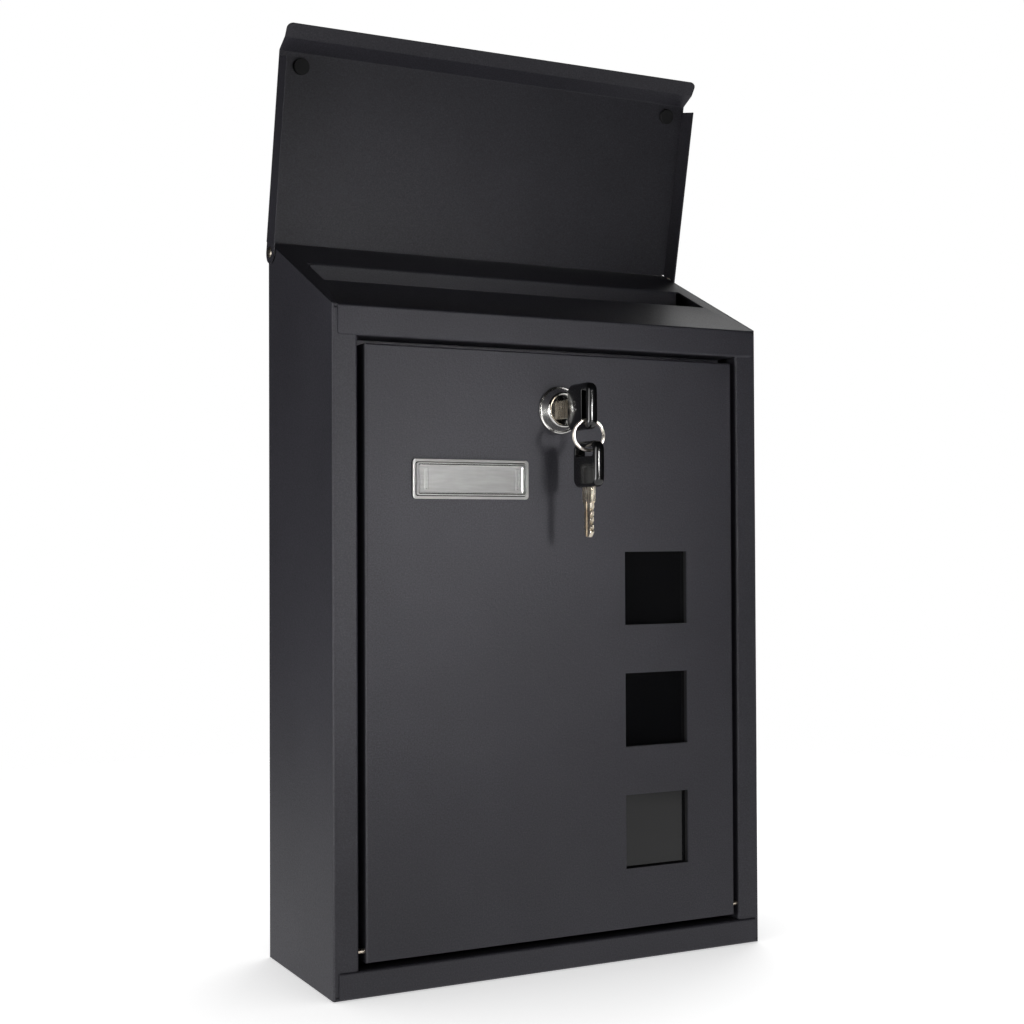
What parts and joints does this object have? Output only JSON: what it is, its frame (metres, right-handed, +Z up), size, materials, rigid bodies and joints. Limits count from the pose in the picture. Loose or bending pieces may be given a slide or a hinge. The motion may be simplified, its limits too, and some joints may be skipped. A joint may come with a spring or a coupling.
{
  "type": "parcel drop box",
  "caption": "Slim wall-mounted steel drop box with a sloped mail slot under a hinged lid, a bottom-hinged locking door, square windows, a name plate and keys in the lock.",
  "frame": {"origin": "centre of the casing's underside", "axes": "+X to the right seen from the front, +Y towards the wall, +Z up"},
  "size_m": [0.2302, 0.1265, 0.4434],
  "materials": {
    "powder_coat": "fine-textured matt anthracite powder coat",
    "lock_chrome": "polished chrome",
    "zinc": "bright zinc plate",
    "brass": "satin brass, partly nickel-plated",
    "key_plastic": "glossy black moulding",
    "clear_plastic": "clear moulding",
    "smoked_pane": "smoked acrylic sheet",
    "card": "silver-grey card",
    "rubber": "matt black",
    "nylon": "natural nylon"
  },
  "bodies": {
    "casing": {"casing_wrap": "powder_coat", "roof_panel": "powder_coat", "floor_panel": "powder_coat", "lid_pivot_pins": "brass", "lid_pivot_washers": "nylon", "door_pivot_pins": "brass"},
    "door": {"door_panel": "powder_coat", "pane_gasket": "rubber", "window_pane": "smoked_pane", "pane_studs": "zinc", "pane_push_nuts": "zinc", "nameplate_window": "clear_plastic", "nameplate_card": "card", "lock_housing": "lock_chrome", "lock_star_washer": "zinc", "lock_nut": "zinc"},
    "plug": {"lock_plug": "lock_chrome", "lock_wafers": "brass", "lock_cam": "zinc", "cam_washer": "zinc", "cam_screw": "zinc"},
    "key": {"key_blade": "brass", "key_bow": "key_plastic"},
    "ring": {"split_ring": "lock_chrome"},
    "spare_key": {"spare_key_blade": "brass", "spare_key_bow": "key_plastic"},
    "lid": {"lid_panel": "powder_coat", "lid_bumpers": "rubber"}
  },
  "joints": [
    {"name": "lid_hinge", "type": "hinge", "parent": "casing", "child": "lid", "pos_m": [0, 0.0375, 0.3395], "axis": [1, 0, 0], "range_deg": [0, 103]},
    {"name": "door_hinge", "type": "hinge", "parent": "casing", "child": "door", "pos_m": [0, -0.0406, 0.02], "axis": [1, 0, 0], "range_deg": [0, 125]},
    {"name": "lock_turn", "type": "hinge", "parent": "door", "child": "plug", "pos_m": [0, -0.044, 0.261], "axis": [0, 1, 0], "range_deg": [0, 90]},
    {"name": "key_pull", "type": "slide", "parent": "plug", "child": "key", "axis": [0, -1, 0], "range_m": [0, 0.018]},
    {"name": "ring_swing", "type": "hinge", "parent": "key", "child": "ring", "pos_m": [0, -0.0717, 0.25415], "axis": [0.9659, -0.2588, 0], "range_deg": [-10, 18]},
    {"name": "spare_key_swing", "type": "hinge", "parent": "ring", "child": "spare_key", "pos_m": [0, -0.0717, 0.24139], "axis": [0.9659, -0.2588, 0], "range_deg": [-15, 20]}
  ]
}
